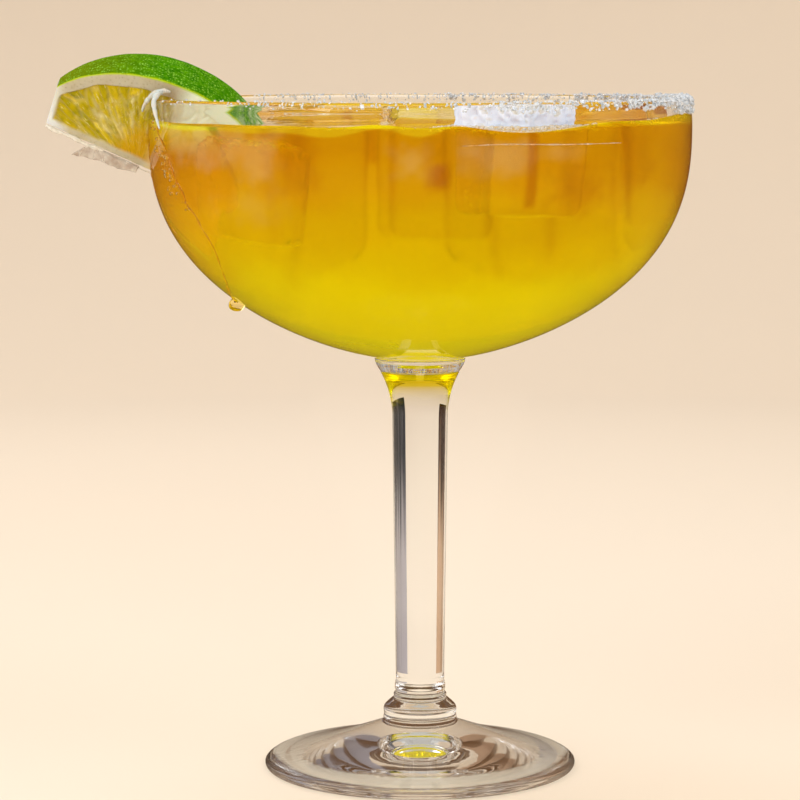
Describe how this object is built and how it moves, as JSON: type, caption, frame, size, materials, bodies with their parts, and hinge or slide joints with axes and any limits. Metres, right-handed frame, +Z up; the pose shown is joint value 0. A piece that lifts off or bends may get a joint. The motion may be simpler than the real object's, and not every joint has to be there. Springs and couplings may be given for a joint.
{
  "type": "iced cocktail in a coupe glass",
  "caption": "Yellow-orange iced cocktail in a round stemmed coupe glass, with a coarse salted rim and a lime wedge slit over the rim.",
  "frame": {"origin": "bottom centre of the bounding box, on the table under the glass; the glass's own axis stands 11.2 mm to +X of it, because the lime wedge reaches out to -X", "axes": "+Z up along the stem, -X towards the lime wedge, -Y towards the viewer"},
  "size_m": [0.1428, 0.1192, 0.1588],
  "materials": {
    "clear_glass": "clear, polished, with white salt crystals on the rim",
    "drink": "clear liquid, amber at the top and yellow below",
    "ice": "clear wet ice with a cloudy middle",
    "lime": "oily dimpled green skin, white pith, wet yellow-green pulp"
  },
  "bodies": {
    "root": {"glass": "clear_glass", "drink": "drink", "ice_cube_1": "ice", "ice_cube_2": "ice", "ice_cube_3": "ice", "ice_cube_4": "ice", "ice_cube_5": "ice", "lime_wedge": "lime"}
  },
  "joints": []
}
